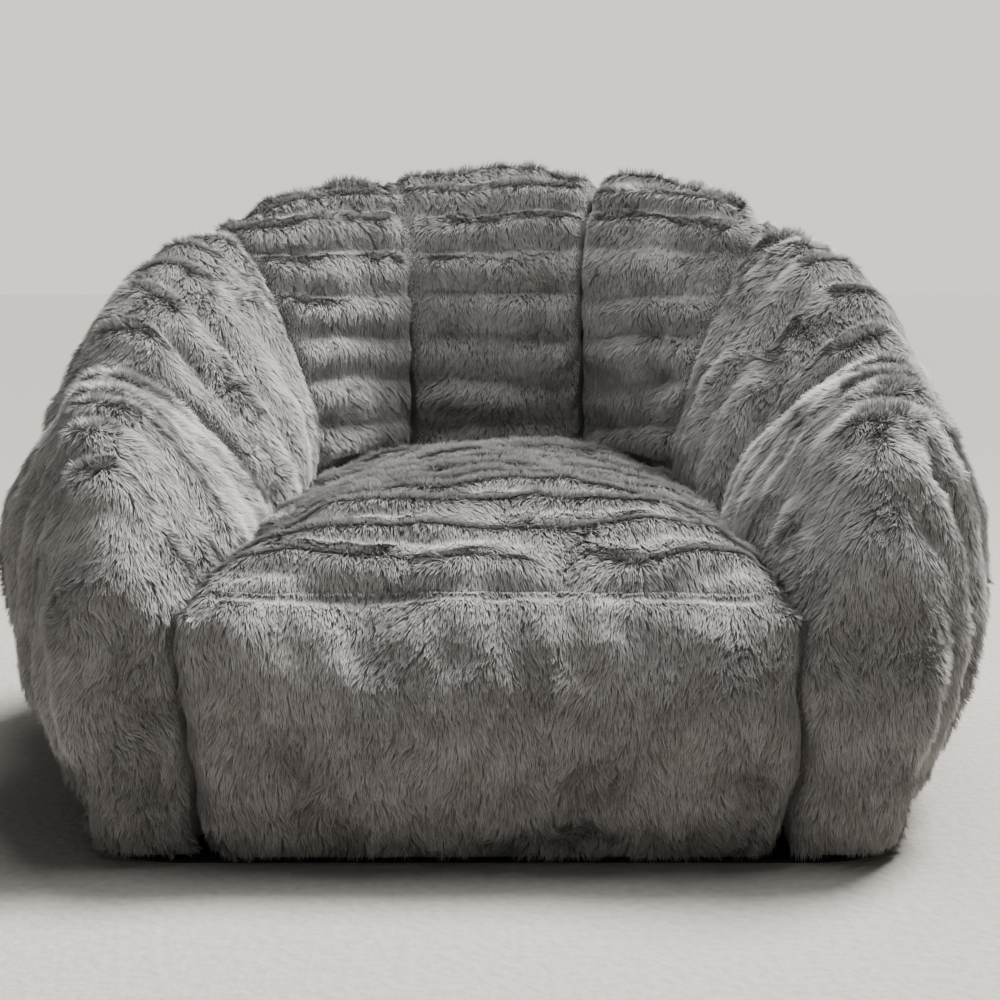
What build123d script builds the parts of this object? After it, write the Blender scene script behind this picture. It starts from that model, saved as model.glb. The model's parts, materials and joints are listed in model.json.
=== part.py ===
"""Bean bag lounge chair: a ring of seven plush lobes around a domed seat, filled with shredded foam.

Millimetres, +Z up, +Y towards the rear. The origin is on the floor under the middle of the chair's box.
Angles are turned about the ring centre, from straight back towards +X.
"""

import os
from math import atan2, cos, hypot, radians, sin

from build123d import *

os.makedirs("parts", exist_ok=True)

# ---------------------------------------------------------------- driving dimensions
CHAIR_DEPTH = 1050.0
RING_CENTRE_Y = -62.0  # the lobes stand around this point
RING_RADIUS = 590.0  # widest reach of the back and the shoulders

BACK_HEIGHT = 715.0
SHOULDER_HEIGHT = 582.0
ARM_HEIGHT = 450.0

SEAT_HALF_WIDTH = 294.0
SEAT_EDGE_HEIGHT = 262.0  # the seam between the seat top and the front panel
SEAT_CROWN_HEIGHT = 362.0
FRONT_Y = -CHAIR_DEPTH / 2

PLUSH = 5.0  # backing cloth with its pressed pile
LINER = 1.5
DIVIDER = 1.6
CLOTH_GAP = 0.8
SEAT_GAP = 1.5
BASE_CLOTH = 2.4
FLOOR_GAP = 3.0  # the lobes stand on the base cloth

# Where the seams between the lobes stand, and the middle of each lobe.
BACK_SEAM = 20.5
BACK_MIDDLE = 39.0
SHOULDER_SEAM = 58.0
SHOULDER_MIDDLE = 78.0
ARM_SEAM = 98.0

# The slanted hem band that holds the zip: two corners of every ring section.
HEM_LOW_HEIGHT = 30.0
HEM_HIGH_HEIGHT = 85.0
RING_TUCK = 165.0  # how far the floor line stands inside the widest reach
HEM_LOW_SHARE = 0.667
HEM_HIGH_SHARE = 0.417

ZIP_HALF_ARC = 34.0  # degrees
hem_outer = RING_RADIUS - 3.0
SLIDER_REST_ANGLE = 32.0


# ---------------------------------------------------------------- sections of the lobes
class Station:
    """One upright section of a lobe: where its plane stands and how large the lobe is there."""

    def __init__(self, turn, start_y, height, ridge, inner, outer, crease=0.0, tuck=RING_TUCK, foot=0.0):
        self.turn = turn
        self.start_y = start_y
        self.height = height
        self.ridge = ridge
        self.inner = inner
        self.outer = outer
        self.crease = crease
        self.tuck = tuck
        self.foot = foot

    def plane(self, side):
        angle = radians(self.turn * side)
        outward = (sin(angle), cos(angle), 0)
        across = (cos(angle), -sin(angle), 0)
        return Plane(origin=(0, self.start_y, 0), x_dir=outward, z_dir=across)

    def outline(self, inset):
        """Corner points of the section, as (reach, height), anticlockwise from the inner foot."""
        floor = FLOOR_GAP + self.foot
        high = self.height - self.crease
        widest = self.outer - self.crease
        inner = self.inner + self.crease
        wall = max(self.inner, SEAT_HALF_WIDTH + 4.0)
        shoulder_drop = 0.13 * (high - floor)
        half_crown = 0.29 * (widest - inner)
        points = [
            (wall, floor),
            (self.outer - self.tuck, floor),
            (self.outer - HEM_LOW_SHARE * self.tuck, self.foot + HEM_LOW_HEIGHT),
            (self.outer - HEM_HIGH_SHARE * self.tuck, self.foot + HEM_HIGH_HEIGHT),
            (widest, floor + 0.42 * (high - floor)),
            (self.ridge + half_crown, high - shoulder_drop),
            (self.ridge, high),
            (self.ridge - half_crown, high - shoulder_drop),
            (inner, floor + 0.6 * (high - floor)),
            (wall, floor + 0.3 * (high - floor)),
        ]
        return inset_corners(points, inset)


def inset_corners(points, distance):
    """Moves every corner of an anticlockwise outline inwards by the same wall thickness."""
    moved = []
    for i, (x, y) in enumerate(points):
        before = points[i - 1]
        after = points[(i + 1) % len(points)]
        ax, ay = x - before[0], y - before[1]
        bx, by = after[0] - x, after[1] - y
        la, lb = hypot(ax, ay), hypot(bx, by)
        nx = -ay / la - by / lb
        ny = ax / la + bx / lb
        length = hypot(nx, ny)
        nx, ny = nx / length, ny / length
        reach = distance / max(0.4, nx * -ay / la + ny * ax / la)
        moved.append((x + nx * reach, y + ny * reach))
    return moved


def ring_station(turn, height, ridge, inner, crease=0.0):
    return Station(turn, RING_CENTRE_Y, height, ridge, inner, hem_outer, crease)


back_middle = ring_station(0, BACK_HEIGHT, 398, 312)
back_seam = ring_station(BACK_SEAM, BACK_HEIGHT - 3, 400, 306, crease=13)
side_back_middle = ring_station(BACK_MIDDLE, BACK_HEIGHT - 27, 408, 286)
shoulder_seam = ring_station(SHOULDER_SEAM, 654, 418, 246, crease=28)
shoulder_middle = ring_station(SHOULDER_MIDDLE, SHOULDER_HEIGHT, 430, 236)
arm_seam = ring_station(ARM_SEAM, 500, 436, 240, crease=34)

arm_stations = [
    arm_seam,
    Station(91, -200, ARM_HEIGHT, 424, 246, 558, tuck=136),
    Station(90, -310, ARM_HEIGHT - 4, 412, 256, 536, tuck=110),
    Station(90, -410, ARM_HEIGHT - 34, 394, 268, 500, tuck=88),
    Station(90, -478, ARM_HEIGHT - 96, 374, 284, 456, tuck=70),
    Station(90, -514, ARM_HEIGHT - 180, 356, 306, 410, tuck=44, foot=14),
]

# Each lobe: its sections in order, the side it stands on, and whether its last end is a closed nose.
LOBES = {
    "back_centre": ([back_seam, back_middle, back_seam], 1, False),
    "back_right": ([back_seam, side_back_middle, shoulder_seam], 1, False),
    "back_left": ([back_seam, side_back_middle, shoulder_seam], -1, False),
    "shoulder_right": ([shoulder_seam, shoulder_middle, arm_seam], 1, False),
    "shoulder_left": ([shoulder_seam, shoulder_middle, arm_seam], -1, False),
    "arm_right": (arm_stations, 1, True),
    "arm_left": (arm_stations, -1, True),
}


def section_planes(name):
    stations, side, _ = LOBES[name]
    planes = [station.plane(side) for station in stations]
    if name == "back_centre":
        planes[0] = stations[0].plane(-1)
    return planes


def lobe_form(name, inset=0.0, seam_gap=0.0):
    """The lobe as one closed solid, shrunk by the inset, with its sewn ends moved in by the gap."""
    stations, side, has_nose = LOBES[name]
    planes = section_planes(name)
    planes[0] = planes[0].offset(side * seam_gap)
    planes[-1] = planes[-1].offset(-side * (max(inset, seam_gap) if has_nose else seam_gap))
    with BuildPart() as form:
        for station, plane in zip(stations, planes):
            corners = station.outline(inset)
            with BuildSketch(plane):
                with BuildLine():
                    Polyline(*corners[:4])
                    Spline(*corners[3:])
                    Line(corners[-1], corners[0])
                make_face()
        loft()
        if has_nose:
            split(bisect_by=Plane.XY.offset(FLOOR_GAP + inset), keep=Keep.TOP)
    return form.part


# ---------------------------------------------------------------- the seat's form
SIDE_SLOPE_HEIGHT = 205.0
SEAT_CORNER = 34.0
seat_reach = RING_CENTRE_Y + SEAT_HALF_WIDTH


def seat_form(inset=0.0):
    """The seat block: a D-shaped plan, cut by its crowned side view and its crowned front view."""
    width = SEAT_HALF_WIDTH - inset
    front = FRONT_Y + inset
    reach = seat_reach - inset
    crown = SEAT_CROWN_HEIGHT - inset
    floor = FLOOR_GAP + inset
    corner_x = width - SEAT_CORNER
    corner_y = front + SEAT_CORNER
    edge = SEAT_EDGE_HEIGHT
    with BuildPart() as form:
        with BuildSketch(Plane.XY.offset(floor)):
            with BuildLine():
                Line((-corner_x, front), (corner_x, front))
                TangentArc((corner_x, front), (width, corner_y), tangent=(1, 0))
                Line((width, corner_y), (width, RING_CENTRE_Y))
                ThreePointArc((width, RING_CENTRE_Y), (0, reach), (-width, RING_CENTRE_Y))
                Line((-width, RING_CENTRE_Y), (-width, corner_y))
                TangentArc((-width, corner_y), (-corner_x, front), tangent=(0, -1))
            make_face()
        extrude(amount=SEAT_CROWN_HEIGHT)
        with BuildSketch(Plane.YZ):
            with BuildLine():
                rear = Polyline((reach + 1, crown - 52), (reach + 1, floor), (front + 18, floor))
                panel = Spline(rear @ 1, (front, 90), (front + 1, edge - 60), (front + 12, edge - 6))
                Spline(
                    panel @ 1,
                    (front + 48, edge + 28 - inset),
                    (front + 190, crown - 22),
                    (-130, crown),
                    (60, crown - 6),
                    rear @ 0,
                )
            make_face()
        extrude(amount=width + 1, both=True, mode=Mode.INTERSECT)
        with BuildSketch(Plane.XZ.offset(-reach - 2)):
            with BuildLine():
                walls = Polyline(
                    (-width, SIDE_SLOPE_HEIGHT), (-width, floor), (width, floor), (width, SIDE_SLOPE_HEIGHT)
                )
                Spline(
                    walls @ 1,
                    (width - 26, 288 - inset),
                    (width - 110, crown - 30),
                    (0, crown),
                    (-width + 110, crown - 30),
                    (-width + 26, 288 - inset),
                    walls @ 0,
                )
            make_face()
        extrude(amount=reach - front + 4, mode=Mode.INTERSECT)
    return form.part


def seat_between_lobes(inset=0.0):
    """The seat block with the lobes' bulging faces pressed into its sides, a cloth gap away."""
    block = seat_form(inset)
    neighbours = [lobe_form(name, -inset - SEAT_GAP, -inset) for name in LOBES]
    with BuildPart() as form:
        add(block)
        for neighbour in neighbours:
            add(neighbour, mode=Mode.SUBTRACT)
    return form.part


# ---------------------------------------------------------------- the zip's frame on the hem band
hem_low = (hem_outer - HEM_LOW_SHARE * RING_TUCK, HEM_LOW_HEIGHT + FLOOR_GAP)
hem_high = (hem_outer - HEM_HIGH_SHARE * RING_TUCK, HEM_HIGH_HEIGHT + FLOOR_GAP)
zip_reach = (hem_low[0] + hem_high[0]) / 2
zip_height = (hem_low[1] + hem_high[1]) / 2
hem_slope = atan2(hem_high[1] - hem_low[1], hem_high[0] - hem_low[0])
ring_axis = Axis((0, RING_CENTRE_Y, 0), (0, 0, 1))

SLOT_HALF = 8.0
SLOT_DEPTH = 14.0
TEETH_INNER = 0.65  # half the groove that the slider's post runs in
TEETH_OUTER = 3.4
TEETH_THICKNESS = 2.4
TAPE_THICKNESS = 1.0
CHAIN_SINK = 1.0  # the chain's mid plane lies this far inside the hem


def hem_frame(angle):
    """Where the zip's middle line passes an angle: its place, its travel direction and its outward normal."""
    turn = radians(angle)
    outward = Vector(sin(turn), cos(turn), 0)
    travel = Vector(-cos(turn), sin(turn), 0)
    normal = outward * sin(hem_slope) - Vector(0, 0, cos(hem_slope))
    middle = Vector(0, RING_CENTRE_Y, zip_height) + outward * zip_reach
    return middle, travel, normal


def hem_band(low, high, sink, thickness, first=ZIP_HALF_ARC, last=-ZIP_HALF_ARC):
    """A strip between two places across the hem, sunk into its face, turned about the ring's axis."""
    middle, travel, normal = hem_frame(first)
    with BuildPart() as band:
        with BuildSketch(Plane(origin=middle, x_dir=normal.cross(travel), z_dir=-travel)):
            with Locations(((low + high) / 2, sink)):
                Rectangle(high - low, thickness)
        revolve(axis=ring_axis, revolution_arc=first - last)
    return band.part


def save(part, name):
    part.label = name
    export_step(part, f"parts/{name}.step")


# ---------------------------------------------------------------- ring: plush covers, liners and fills
liner_out = PLUSH + CLOTH_GAP
liner_in = liner_out + LINER
fill_out = liner_in + CLOTH_GAP
liner_end = DIVIDER / 2 + CLOTH_GAP
fill_end = liner_end + LINER + CLOTH_GAP
zip_slot = hem_band(-SLOT_HALF, SLOT_HALF, 0, SLOT_DEPTH)

for lobe in LOBES:
    plush_form = lobe_form(lobe)
    plush_hollow = lobe_form(lobe, PLUSH)
    with BuildPart() as cover:
        add(plush_form)
        add(plush_hollow, mode=Mode.SUBTRACT)
        if lobe.startswith("back"):
            add(zip_slot, mode=Mode.SUBTRACT)
    save(cover.part, "cover_" + lobe)

for lobe in LOBES:
    liner_form = lobe_form(lobe, liner_out, liner_end)
    liner_hollow = lobe_form(lobe, liner_in, liner_end + LINER)
    with BuildPart() as liner:
        add(liner_form)
        add(liner_hollow, mode=Mode.SUBTRACT)
    save(liner.part, "liner_" + lobe)

for lobe in LOBES:
    foam = lobe_form(lobe, fill_out, fill_end)
    with BuildPart() as fill:
        add(foam)
    save(fill.part, "fill_" + lobe)

# ---------------------------------------------------------------- dividers: cloth walls sewn in the seams
SEAMS = {
    "back_left": (back_seam, -1),
    "back_right": (back_seam, 1),
    "shoulder_left": (shoulder_seam, -1),
    "shoulder_right": (shoulder_seam, 1),
    "arm_left": (arm_seam, -1),
    "arm_right": (arm_seam, 1),
}

for seam, (station, side) in SEAMS.items():
    corners = station.outline(PLUSH + CLOTH_GAP)
    with BuildPart() as divider:
        with BuildSketch(station.plane(side)):
            with BuildLine():
                Polyline(*corners[:4])
                Spline(*corners[3:])
                Line(corners[-1], corners[0])
            make_face()
        extrude(amount=DIVIDER / 2, both=True)
    save(divider.part, "divider_" + seam)

# ---------------------------------------------------------------- seat: top cover, front panel, liner, fill
seat_plush = seat_between_lobes()
seat_plush_hollow = seat_between_lobes(PLUSH)

with BuildPart() as seat_top_cover:
    add(seat_plush)
    add(seat_plush_hollow, mode=Mode.SUBTRACT)
    split(bisect_by=Plane.XY.offset(SEAT_EDGE_HEIGHT), keep=Keep.TOP)
save(seat_top_cover.part, "seat_top_cover")

with BuildPart() as seat_front_cover:
    add(seat_plush)
    add(seat_plush_hollow, mode=Mode.SUBTRACT)
    split(bisect_by=Plane.XY.offset(SEAT_EDGE_HEIGHT), keep=Keep.BOTTOM)
    split(bisect_by=Plane.XZ.offset(-FRONT_Y - SEAT_CORNER), keep=Keep.TOP)
save(seat_front_cover.part, "seat_front_cover")

seat_liner_form = seat_between_lobes(liner_out)
seat_liner_hollow = seat_between_lobes(liner_in)
with BuildPart() as liner_seat:
    add(seat_liner_form)
    add(seat_liner_hollow, mode=Mode.SUBTRACT)
save(liner_seat.part, "liner_seat")

seat_foam = seat_between_lobes(fill_out)
with BuildPart() as fill_seat:
    add(seat_foam)
save(fill_seat.part, "fill_seat")

# ---------------------------------------------------------------- base cloth under the whole chair
base_radius = hem_outer - RING_TUCK - 6
base_front_x = 300.0
base_front_y = FRONT_Y + 26
base_side_y = -390.0

with BuildPart() as base_cloth:
    with BuildSketch():
        with BuildLine():
            rear_edge = ThreePointArc(
                (base_radius, RING_CENTRE_Y), (0, RING_CENTRE_Y + base_radius), (-base_radius, RING_CENTRE_Y)
            )
            left_side = Line(rear_edge @ 1, (-base_radius, base_side_y))
            left_corner = TangentArc(left_side @ 1, (-base_front_x, base_front_y), tangent=(0, -1))
            front_edge = Line(left_corner @ 1, (base_front_x, base_front_y))
            right_side = Line(rear_edge @ 0, (base_radius, base_side_y))
            TangentArc(right_side @ 1, front_edge @ 1, tangent=(0, -1))
        make_face()
    extrude(amount=BASE_CLOTH)
save(base_cloth.part, "base_cloth")

# ---------------------------------------------------------------- zip: tapes, teeth and end stops
TEETH_END = 33.2
STOP_ANGLES = {"zip_stop_right": (33.25, 33.75), "zip_stop_left": (-33.75, -33.25)}
zip_bands = {
    "zip_tape_upper": (TEETH_OUTER, SLOT_HALF, TAPE_THICKNESS, ZIP_HALF_ARC),
    "zip_tape_lower": (-SLOT_HALF, -TEETH_OUTER, TAPE_THICKNESS, ZIP_HALF_ARC),
    "zip_teeth_upper": (TEETH_INNER, TEETH_OUTER, TEETH_THICKNESS, TEETH_END),
    "zip_teeth_lower": (-TEETH_OUTER, -TEETH_INNER, TEETH_THICKNESS, TEETH_END),
}
for band_name, (low, high, thickness, half_arc) in zip_bands.items():
    band = hem_band(low, high, CHAIN_SINK, thickness, half_arc, -half_arc)
    with BuildPart() as strip:
        add(band)
    save(strip.part, band_name)

for stop_name, (low, high) in STOP_ANGLES.items():
    block = hem_band(-TEETH_OUTER, TEETH_OUTER, CHAIN_SINK, TEETH_THICKNESS + 0.8, high, low)
    with BuildPart() as stop:
        add(block)
    save(stop.part, stop_name)

# ---------------------------------------------------------------- zip slider: two plates, a post and two ears
SLIDER_LENGTH = 19.0
SLIDER_WIDTH = 10.6
PLATE = 1.2
RUNNING_GAP = 0.4
LIP_WIDTH = 1.3
POST_WIDTH = 0.7
EAR_HEIGHT = 4.6
EAR_LENGTH = 4.4
EAR_THICKNESS = 1.2
EAR_INNER = 3.4
PIN_RADIUS = 0.9
PIN_HEIGHT = 4.6  # above the hem's face

slider_middle, slider_travel, slider_normal = hem_frame(SLIDER_REST_ANGLE)
slider_face = Plane(origin=slider_middle, x_dir=slider_travel, z_dir=slider_normal)
chain_top = TEETH_THICKNESS / 2 - CHAIN_SINK
chain_bottom = -TEETH_THICKNESS / 2 - CHAIN_SINK
outer_plate_low = chain_top + RUNNING_GAP
inner_plate_low = chain_bottom - RUNNING_GAP - PLATE
lip_offset = (SLIDER_WIDTH - LIP_WIDTH) / 2
tape_top = TAPE_THICKNESS / 2 - CHAIN_SINK
pin_side = Plane(
    origin=slider_middle + slider_normal * PIN_HEIGHT,
    x_dir=slider_travel,
    z_dir=slider_normal.cross(slider_travel),
)

with BuildPart() as zip_slider:
    for level in (inner_plate_low, outer_plate_low):
        with BuildSketch(slider_face.offset(level)):
            RectangleRounded(SLIDER_LENGTH, SLIDER_WIDTH, 3.4)
        extrude(amount=PLATE)
    with BuildSketch(slider_face.offset(tape_top + RUNNING_GAP)):
        with Locations((0, lip_offset), (0, -lip_offset)):
            Rectangle(SLIDER_LENGTH - 7, LIP_WIDTH)
    extrude(amount=outer_plate_low - tape_top - RUNNING_GAP)
    with BuildSketch(slider_face.offset(inner_plate_low + PLATE)):
        with Locations((5, 0)):
            SlotOverall(5, POST_WIDTH)
    extrude(amount=outer_plate_low - inner_plate_low - PLATE)
    with BuildSketch(slider_face.offset(outer_plate_low + PLATE)):
        with Locations((0, EAR_INNER + EAR_THICKNESS / 2), (0, -EAR_INNER - EAR_THICKNESS / 2)):
            Rectangle(EAR_LENGTH, EAR_THICKNESS)
    extrude(amount=EAR_HEIGHT)
    with BuildSketch(pin_side.offset(-EAR_INNER - EAR_THICKNESS / 2)):
        Circle(PIN_RADIUS)
    extrude(amount=2 * EAR_INNER + EAR_THICKNESS)
save(zip_slider.part, "zip_slider")

# ---------------------------------------------------------------- zip pull: a flat tab on an eye
EYE_RADIUS = 2.2
EYE_HALF_WIDTH = 2.9
PULL_LENGTH = 30.0
PULL_WIDTH = 8.4
PULL_THICKNESS = 1.6
PIN_PLAY = 0.3

pull_face = Plane(
    origin=slider_middle + slider_normal * PIN_HEIGHT,
    x_dir=slider_normal.cross(slider_travel),
    z_dir=slider_travel,
)
away = 1 if pull_face.y_dir.dot(slider_normal) > 0 else -1

with BuildPart() as zip_pull:
    with BuildSketch(pull_face.offset(-PULL_THICKNESS / 2)):
        with BuildLine():
            neck = Polyline(
                (-PULL_WIDTH / 2, away * 10),
                (-EYE_HALF_WIDTH, away * 5),
                (-EYE_HALF_WIDTH, 0),
                (EYE_HALF_WIDTH, 0),
                (EYE_HALF_WIDTH, away * 5),
                (PULL_WIDTH / 2, away * 10),
                (PULL_WIDTH / 2, away * (PULL_LENGTH - PULL_WIDTH / 2)),
            )
            ThreePointArc(
                neck @ 1, (0, away * PULL_LENGTH), (-PULL_WIDTH / 2, away * (PULL_LENGTH - PULL_WIDTH / 2))
            )
            Line((-PULL_WIDTH / 2, away * (PULL_LENGTH - PULL_WIDTH / 2)), neck @ 0)
        make_face()
        with Locations((0, away * (PULL_LENGTH - 5))):
            Circle(1.8, mode=Mode.SUBTRACT)
    extrude(amount=PULL_THICKNESS)
    with BuildSketch(pin_side.offset(-EYE_HALF_WIDTH)):
        Circle(EYE_RADIUS)
    extrude(amount=2 * EYE_HALF_WIDTH)
    with BuildSketch(pin_side.offset(-EYE_HALF_WIDTH)):
        Circle(PIN_RADIUS + PIN_PLAY)
    extrude(amount=2 * EYE_HALF_WIDTH, mode=Mode.SUBTRACT)
save(zip_pull.part, "zip_pull")

print("pull pin point", pin_side.origin, "axis", pin_side.z_dir)
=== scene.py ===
# %% [markdown]
# # A plush bean bag lounge chair
#
# The real chair is a ring of seven stuffed lobes round a domed seat, all in one long grey plush.
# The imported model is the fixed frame: it says where every piece lies. Here each stuffed piece gets
# its sewn, swollen shape and its pile. Lengths are in metres.

# %% The frame
import json
from math import pi, radians

import bmesh
import bpy
import numpy as np
from mathutils import Matrix, Vector, noise
from mathutils.bvhtree import BVHTree


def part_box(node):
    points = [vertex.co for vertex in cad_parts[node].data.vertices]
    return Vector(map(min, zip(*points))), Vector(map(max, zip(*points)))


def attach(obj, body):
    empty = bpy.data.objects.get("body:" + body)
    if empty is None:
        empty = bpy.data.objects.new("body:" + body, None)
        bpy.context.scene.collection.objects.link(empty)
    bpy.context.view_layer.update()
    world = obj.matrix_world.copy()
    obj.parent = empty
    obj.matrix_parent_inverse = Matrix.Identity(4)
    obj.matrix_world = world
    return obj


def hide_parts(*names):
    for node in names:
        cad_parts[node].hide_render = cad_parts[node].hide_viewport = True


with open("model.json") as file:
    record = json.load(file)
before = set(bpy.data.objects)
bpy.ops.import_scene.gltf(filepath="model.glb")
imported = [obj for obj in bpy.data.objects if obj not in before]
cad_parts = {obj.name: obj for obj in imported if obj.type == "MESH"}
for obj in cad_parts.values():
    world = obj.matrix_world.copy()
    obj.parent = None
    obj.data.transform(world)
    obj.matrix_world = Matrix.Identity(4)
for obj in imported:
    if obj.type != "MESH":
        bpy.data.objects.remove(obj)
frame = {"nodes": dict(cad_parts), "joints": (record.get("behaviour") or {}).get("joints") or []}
bpy.context.view_layer.update()
scene = bpy.context.scene

# %% [markdown]
# ## Where the ring stands
#
# The lobes are set out round one upright axis, and the zip's slider runs about the same axis, so
# the record gives it. The seams between the lobes are upright planes through that axis, and their
# angles are measured from straight back.

# %% The ring and its seams
zip_travel = next(j for j in frame["joints"] if j["name"] == "zip_travel")
RING_CENTRE = np.array([zip_travel["pos_m"][0], zip_travel["pos_m"][1]])
ZIP_HEIGHT = zip_travel["pos_m"][2]
zip_swing = next(j for j in frame["joints"] if j["name"] == "zip_pull_swing")
ZIP_UP = np.array([np.hypot(zip_swing["axis"][0], zip_swing["axis"][1]), zip_swing["axis"][2]])
ZIP_OUT = np.array([ZIP_UP[1], -ZIP_UP[0]])  # reach and height of the hem's outward normal
ZIP_TURN = radians(33.2)
BACK_SEAM = radians(20.5)
SHOULDER_SEAM = radians(58.0)
ARM_SEAM = radians(98.0)
SEAT_SEAM_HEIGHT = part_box("seat_front_cover")[1].z
SEAT_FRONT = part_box("seat_front_cover")[0].y
print("ring centre", RING_CENTRE, "zip height", ZIP_HEIGHT, "seat seam", round(SEAT_SEAM_HEIGHT, 3))

# %% [markdown]
# ## The camera
#
# A chair is pictured from the front, from a little above its top, so that the seat shows between
# the arms. A long lens keeps the front from swelling.

# %% The camera
eye = bpy.data.cameras.new("eye")
eye.sensor_width = 36.0
eye.lens = 60.0
eye.shift_x = 0.0035
camera = bpy.data.objects.new("eye", eye)
camera.location = (0.0, -2.05, 0.567)
camera.rotation_euler = (radians(90 - 7.8), 0.0, 0.0)
scene.collection.objects.link(camera)
scene.camera = camera
print("camera at", tuple(round(v, 3) for v in camera.location))

# %% [markdown]
# ## Small helpers
#
# Every piece is a mesh object with its place in its mesh. Materials are built from nodes, so a
# helper adds a node, sets its plain values and links its inputs in one call.


# %% Helpers for pieces and nodes
def new_object(name, mesh):
    piece = bpy.data.objects.new(name, mesh)
    scene.collection.objects.link(piece)
    return piece


def add_node(tree, kind, inputs=(), **settings):
    """A node with its settings, and its inputs as a dict of values or of sockets to link."""
    node = tree.nodes.new(kind)
    for name, value in settings.items():
        setattr(node, name, value)
    for name, value in dict(inputs).items():
        if isinstance(value, bpy.types.NodeSocket):
            tree.links.new(value, node.inputs[name])
        else:
            node.inputs[name].default_value = value
    return node


def coordinates(mesh):
    found = np.zeros(len(mesh.vertices) * 3)
    mesh.vertices.foreach_get("co", found)
    return found.reshape(-1, 3)


def directions(mesh):
    found = np.zeros(len(mesh.vertices) * 3, np.float32)
    mesh.vertex_normals.foreach_get("vector", found)
    return found.reshape(-1, 3).astype(float)


def move_to(mesh, places):
    mesh.vertices.foreach_set("co", places.astype(np.float32).ravel())
    mesh.update()


def store(mesh, name, kind, values):
    attribute = mesh.attributes.new(name, kind, "POINT")
    field = "vector" if kind == "FLOAT_VECTOR" else "value"
    attribute.data.foreach_set(field, values.astype(np.float32).ravel())


def noise_at(places, size, seed):
    """Smooth noise from about -1 to 1, with features of the given size."""
    shift = Vector((seed * 17.3, seed * 5.1, -seed * 9.7))
    return np.array([noise.noise(Vector(p) / size + shift) for p in places])


# %% [markdown]
# ## Stuffing the lobes
#
# A stuffed lobe is a flat sewn bag that the filling pushes out until its seams hold it. Moving
# vertices by hand could imitate that, but a cloth simulation does it as the real bag does: the
# filling is a pressure inside, and the seams are pinned. The closed filling solid of the frame is
# remeshed into even cloth, because its own triangles are long and thin. All eight bags swell
# in one run of the clock.

# %% Bags of even cloth
CLOTH_CELL = 0.0155
SEAM_ALLOWANCE = 0.016
BULGE_LIMIT = 0.012
STUFFING_PRESSURE = 4.0
STUFFING_FRAMES = 20

LOBES = (
    "arm_left", "shoulder_left", "back_left", "back_centre",
    "back_right", "shoulder_right", "arm_right",
)


def bag_of(name):
    """The filling of a lobe or of the seat, as an even closed bag."""
    source = frame["nodes"]["fill_" + name]
    shell = bmesh.new()
    shell.from_mesh(source.data)
    bmesh.ops.remove_doubles(shell, verts=shell.verts, dist=1e-5)
    mesh = bpy.data.meshes.new("bag_" + name)
    shell.to_mesh(mesh)
    shell.free()
    bag = new_object("bag_" + name, mesh)
    even = bag.modifiers.new("even", "REMESH")
    even.mode = "VOXEL"
    even.voxel_size = CLOTH_CELL
    even.use_smooth_shade = True
    graph = bpy.context.evaluated_depsgraph_get()
    finished = bpy.data.meshes.new_from_object(bag.evaluated_get(graph), depsgraph=graph)
    bag.modifiers.clear()
    bag.data = finished
    return bag


bags = {name: bag_of(name) for name in (*LOBES, "seat")}
print("bags", {name: len(bag.data.vertices) for name, bag in bags.items()})


# %% Which vertices the seams hold
def off_seams(places):
    """Distance from the nearest of the upright planes in which the lobes are sewn together."""
    turn = np.arctan2(places[:, 0] - RING_CENTRE[0], places[:, 1] - RING_CENTRE[1])
    nearest = np.full(len(places), 1.0)
    for seam in (BACK_SEAM, SHOULDER_SEAM, ARM_SEAM):
        for angle in (seam, -seam):
            across = np.array([np.cos(angle), -np.sin(angle)])
            off = np.abs((places[:, :2] - RING_CENTRE) @ across)
            off[np.abs(turn - angle) > radians(40)] = 1.0
            nearest = np.minimum(nearest, off)
    return nearest


def pin(bag):
    places = coordinates(bag.data)
    held = (off_seams(places) < SEAM_ALLOWANCE) | (places[:, 2] < 0.03)
    group = bag.vertex_groups.new(name="sewn")
    group.add([int(i) for i in np.flatnonzero(held)], 1.0, "REPLACE")
    return group


for bag in bags.values():
    pin(bag)


# %% The filling pushes
def fill_with_foam(bag):
    cloth = bag.modifiers.new("stuffing", "CLOTH")
    settings = cloth.settings
    settings.use_pressure = True
    settings.uniform_pressure_force = STUFFING_PRESSURE
    settings.vertex_group_mass = "sewn"
    settings.effector_weights.gravity = 0.0
    settings.tension_stiffness = settings.compression_stiffness = 30.0
    settings.bending_stiffness = 2.0
    cloth.point_cache.frame_start = 1
    cloth.point_cache.frame_end = STUFFING_FRAMES


def swell(all_bags):
    before = {name: coordinates(bag.data) for name, bag in all_bags.items()}
    for bag in all_bags.values():
        fill_with_foam(bag)
    for step in range(1, STUFFING_FRAMES + 1):
        scene.frame_set(step)
    graph = bpy.context.evaluated_depsgraph_get()
    for name, bag in all_bags.items():
        after = coordinates(bag.evaluated_get(graph).data)
        moved = after - before[name]
        reach = np.linalg.norm(moved, axis=1)
        # The stuffing may push a point only so far: past the limit the cloth is taut.
        eased = BULGE_LIMIT * np.tanh(reach / BULGE_LIMIT)
        moved *= (eased / np.maximum(reach, 1e-9))[:, None]
        bag.modifiers.clear()
        move_to(bag.data, before[name] + moved)
        print(f"{name}: swollen by up to {eased.max() * 1000:.0f} mm")
    scene.frame_set(1)


swell(bags)


# %% [markdown]
# ## Ribs and lumps
#
# The plush is pressed into ribs about two fingers wide. On the back they lie level, on the
# shoulders they follow the creases, and over the arms they run like hoops. The lumps are the
# filling showing through. Both are slow waves, finer than the cloth cells, so the bag is
# subdivided once and its vertices move along their normals.

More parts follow.
